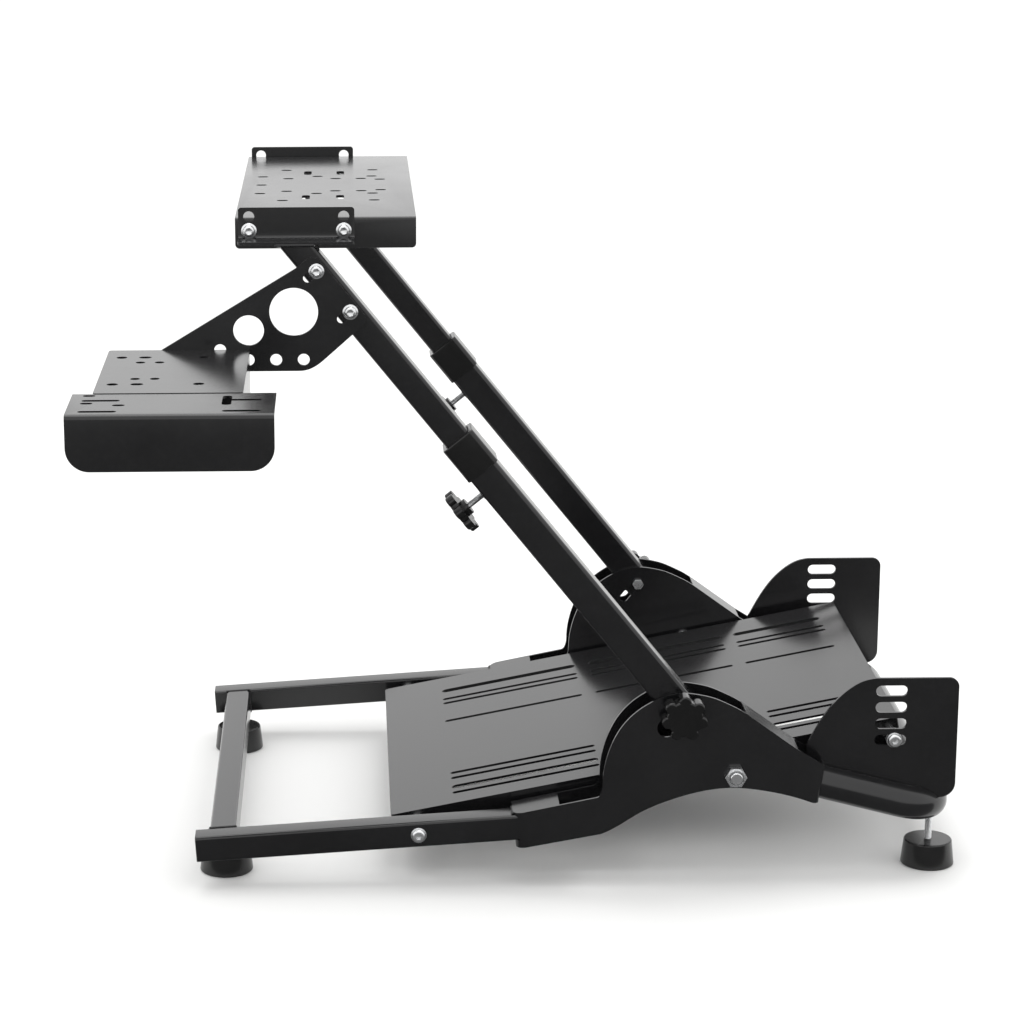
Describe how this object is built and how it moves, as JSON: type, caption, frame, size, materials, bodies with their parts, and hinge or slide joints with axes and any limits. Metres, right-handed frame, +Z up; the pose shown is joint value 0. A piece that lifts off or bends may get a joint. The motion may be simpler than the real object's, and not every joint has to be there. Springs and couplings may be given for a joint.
{
  "type": "racing wheel stand",
  "caption": "Folding stand for a game steering wheel: floor frame with sloped pedal plate, slanted telescopic legs, slotted wheel plate and a side shelf for a gear lever.",
  "frame": {"origin": "on the floor, below the middle of the whole stand's box", "axes": "+X forward, away from the driver; +Y to the driver's left; +Z up"},
  "size_m": [0.8155, 0.7698, 0.647],
  "materials": {
    "black_coat": "satin powder coat",
    "black_plastic": "moulded black",
    "bright_zinc": "bright zinc plate",
    "black_rubber": "moulded black"
  },
  "bodies": {
    "floor_frame": {"right_rail": "black_coat", "left_rail": "black_coat", "right_hinge_bracket": "black_coat", "left_hinge_bracket": "black_coat", "right_wing_plate": "black_coat", "left_wing_plate": "black_coat", "right_rear_foot": "black_rubber", "left_rear_foot": "black_rubber", "right_front_foot": "black_rubber", "left_front_foot": "black_rubber", "right_rear_foot_stud": "bright_zinc", "left_rear_foot_stud": "bright_zinc", "right_front_foot_stud": "bright_zinc", "left_front_foot_stud": "bright_zinc", "right_pedal_pivot_bolt": "bright_zinc", "left_pedal_pivot_bolt": "bright_zinc", "right_wing_bolt": "bright_zinc", "left_wing_bolt": "bright_zinc", "right_pivot_bolt": "bright_zinc", "left_pivot_bolt": "bright_zinc", "rear_cross_tube": "black_coat", "front_tube": "black_coat", "pedal_plate": "black_coat"},
    "lower_legs": {"right_lower_tube": "black_coat", "left_lower_tube": "black_coat", "right_collar": "black_plastic", "left_collar": "black_plastic", "right_lock_bolt": "bright_zinc", "left_lock_bolt": "bright_zinc"},
    "wheel_frame": {"right_upper_tube": "black_coat", "left_upper_tube": "black_coat", "right_side_bracket": "black_coat", "left_side_bracket": "black_coat", "wheel_plate": "black_coat", "shifter_gusset": "black_coat", "shifter_shelf": "black_coat", "shifter_lip": "black_coat"},
    "right_clamp_knob": {"right_lock_knob": "black_plastic"},
    "left_clamp_knob": {"left_lock_knob": "black_plastic"},
    "right_height_clamp": {"right_height_bolt": "bright_zinc", "right_height_knob": "black_plastic"},
    "left_height_clamp": {"left_height_bolt": "bright_zinc", "left_height_knob": "black_plastic"}
  },
  "joints": [
    {"name": "leg_tilt", "type": "hinge", "parent": "floor_frame", "child": "lower_legs", "pos_m": [0.18655, 0.1221, 0.1107], "axis": [0, 1, 0], "range_deg": [-15, 0]},
    {"name": "leg_extension", "type": "slide", "parent": "lower_legs", "child": "wheel_frame", "axis": [-0.628, 0, 0.7782], "range_m": [-0.11, 0.06]},
    {"name": "right_clamp_knob_turn", "type": "hinge", "parent": "lower_legs", "child": "right_clamp_knob", "pos_m": [0.13569, -0.1279, 0.17374], "axis": [0, -1, 0], "continuous": true},
    {"name": "left_clamp_knob_turn", "type": "hinge", "parent": "lower_legs", "child": "left_clamp_knob", "pos_m": [0.13569, 0.3721, 0.17374], "axis": [0, 1, 0], "continuous": true},
    {"name": "right_height_clamp_turn", "type": "hinge", "parent": "lower_legs", "child": "right_height_clamp", "pos_m": [-0.06255, -0.0999, 0.37164], "axis": [-0.7782, 0, -0.628], "continuous": true},
    {"name": "left_height_clamp_turn", "type": "hinge", "parent": "lower_legs", "child": "left_height_clamp", "pos_m": [-0.06255, 0.3441, 0.37164], "axis": [-0.7782, 0, -0.628], "continuous": true}
  ]
}
